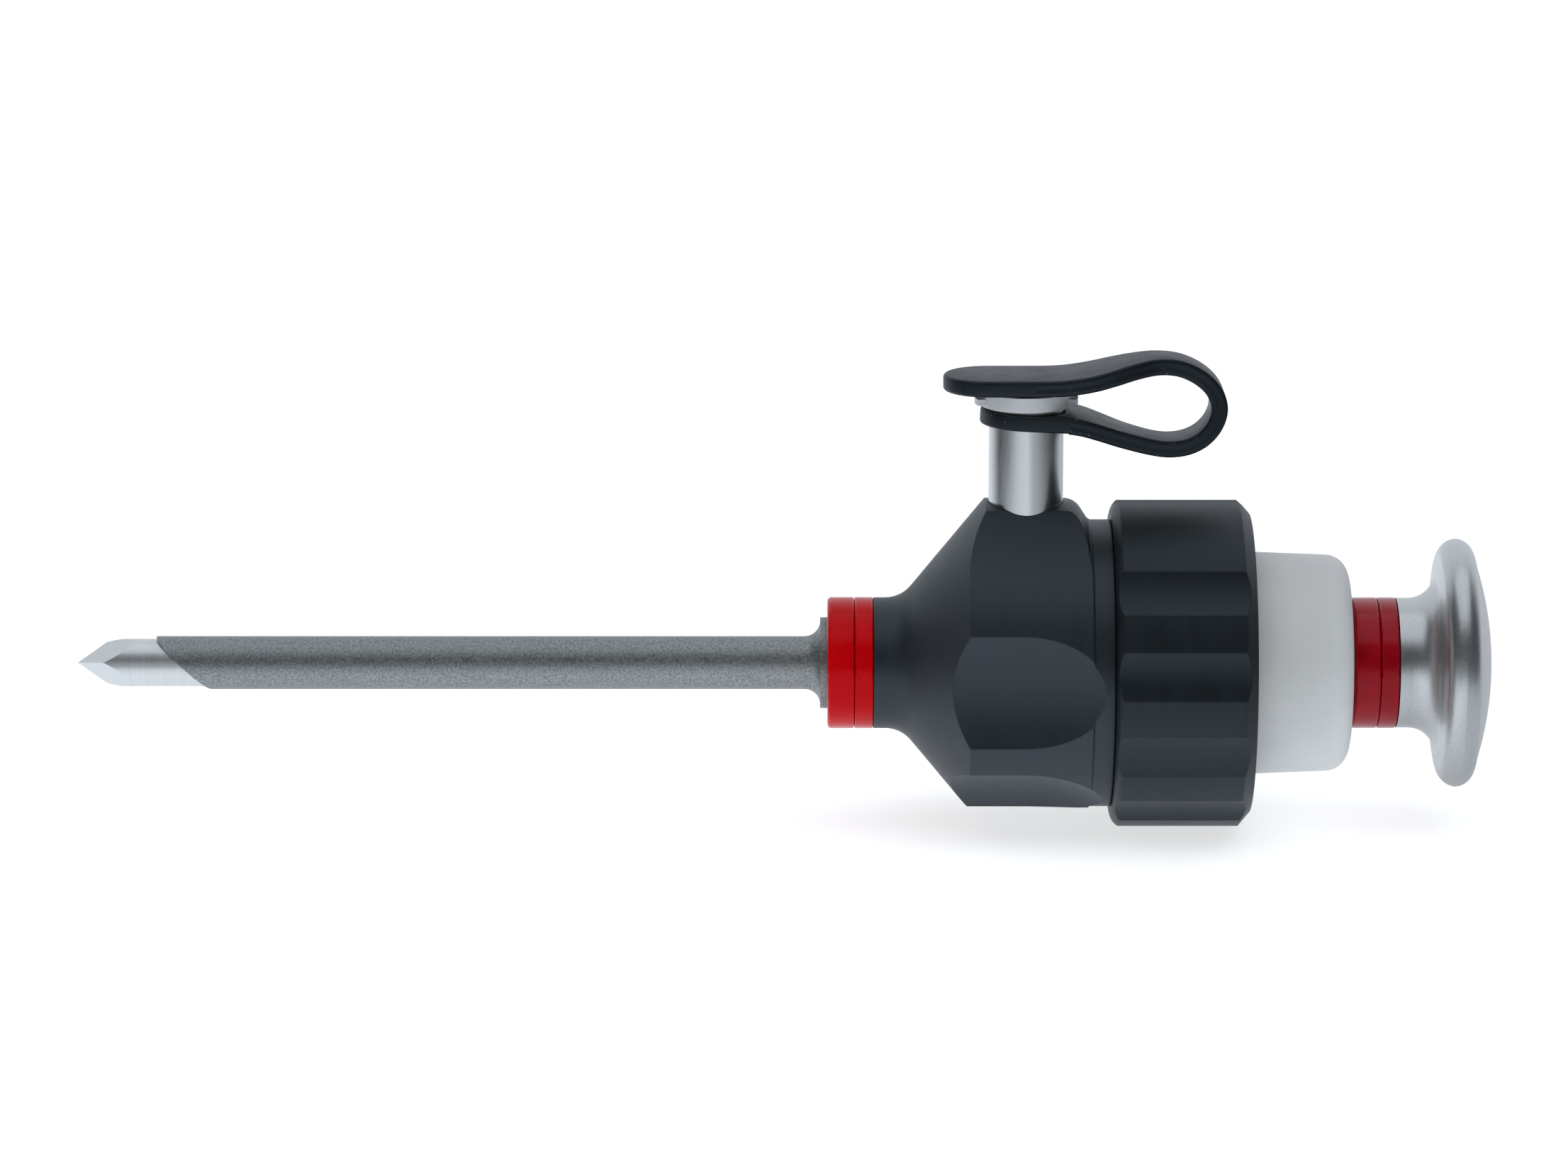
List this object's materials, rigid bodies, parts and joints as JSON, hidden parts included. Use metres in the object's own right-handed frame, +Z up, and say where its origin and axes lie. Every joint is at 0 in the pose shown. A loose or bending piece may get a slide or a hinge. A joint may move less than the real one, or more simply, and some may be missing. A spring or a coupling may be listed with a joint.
{
  "type": "laparoscopic trocar",
  "caption": "Reusable trocar: bevelled cannula, black valve housing with gas port and stopper, screw cap with nozzle seal, and a pointed obturator with a palm knob.",
  "frame": {"origin": "on the instrument's axis where the thin cannula tube leaves the hub", "axes": "+X along the instrument to the palm knob, -X to the sharp tip, +Z up the gas port, -Y to the side seen in the picture"},
  "size_m": [0.1038, 0.024, 0.035],
  "materials": {
    "blasted_steel": "grit blasted",
    "polished_steel": "ground and polished",
    "satin_steel": "satin blasted",
    "black_polymer": "machined",
    "code_ring_red": "glossy",
    "white_silicone": "moulded, translucent",
    "black_silicone": "moulded",
    "grey_rubber": "moulded",
    "inner_polymer": "turned"
  },
  "bodies": {
    "cannula_body": {"cannula_tube": "blasted_steel", "cannula_hub": "blasted_steel", "hub_code_ring_front": "code_ring_red", "hub_code_ring_back": "code_ring_red", "hub_o_ring": "grey_rubber", "hub_lock_nut": "satin_steel", "valve_housing": "black_polymer", "luer_port": "polished_steel", "port_gasket": "grey_rubber", "leaflet_valve": "white_silicone", "valve_seat_ring": "inner_polymer"},
    "seal_group": {"nozzle_seal": "white_silicone", "seal_clamp_washer": "inner_polymer"},
    "screw_cap": {"screw_cap": "black_polymer"},
    "obturator_rings": {"obturator_code_ring_front": "code_ring_red", "obturator_code_ring_back": "code_ring_red"},
    "obturator": {"obturator_shaft": "polished_steel", "obturator_knob": "satin_steel", "ring_retaining_nut": "satin_steel", "shaft_lock_pin": "satin_steel"},
    "stopper_ring": {"stopper_ring": "black_silicone", "stopper_strap": "black_silicone"},
    "stopper_plug": {"port_stopper": "black_silicone"}
  },
  "joints": [
    {"name": "seal_lift", "type": "slide", "parent": "cannula_body", "child": "seal_group", "axis": [1, 0, 0], "range_m": [0, 0.00451]},
    {"name": "cap_turn", "type": "hinge", "parent": "seal_group", "child": "screw_cap", "pos_m": [0.0276, 0, 0], "axis": [1, 0, 0], "range_deg": [0, 1080]},
    {"name": "obturator_slide", "type": "slide", "parent": "seal_group", "child": "obturator_rings", "axis": [1, 0, 0], "range_m": [0, 0.1]},
    {"name": "obturator_spin", "type": "hinge", "parent": "obturator_rings", "child": "obturator", "pos_m": [0.0425, 0, 0], "axis": [1, 0, 0], "continuous": true},
    {"name": "stopper_swivel", "type": "hinge", "parent": "cannula_body", "child": "stopper_ring", "pos_m": [0.01615, 0, 0.01855], "axis": [0, 0, 1], "continuous": true},
    {"name": "stopper_pull", "type": "slide", "parent": "stopper_ring", "child": "stopper_plug", "axis": [0, 0, 1], "range_m": [0, 0.006], "deforming": ["stopper_strap"]}
  ],
  "couplings": [
    {"joint": "seal_lift", "follows": "cap_turn", "m_per_rad": 0.00023873}
  ]
}
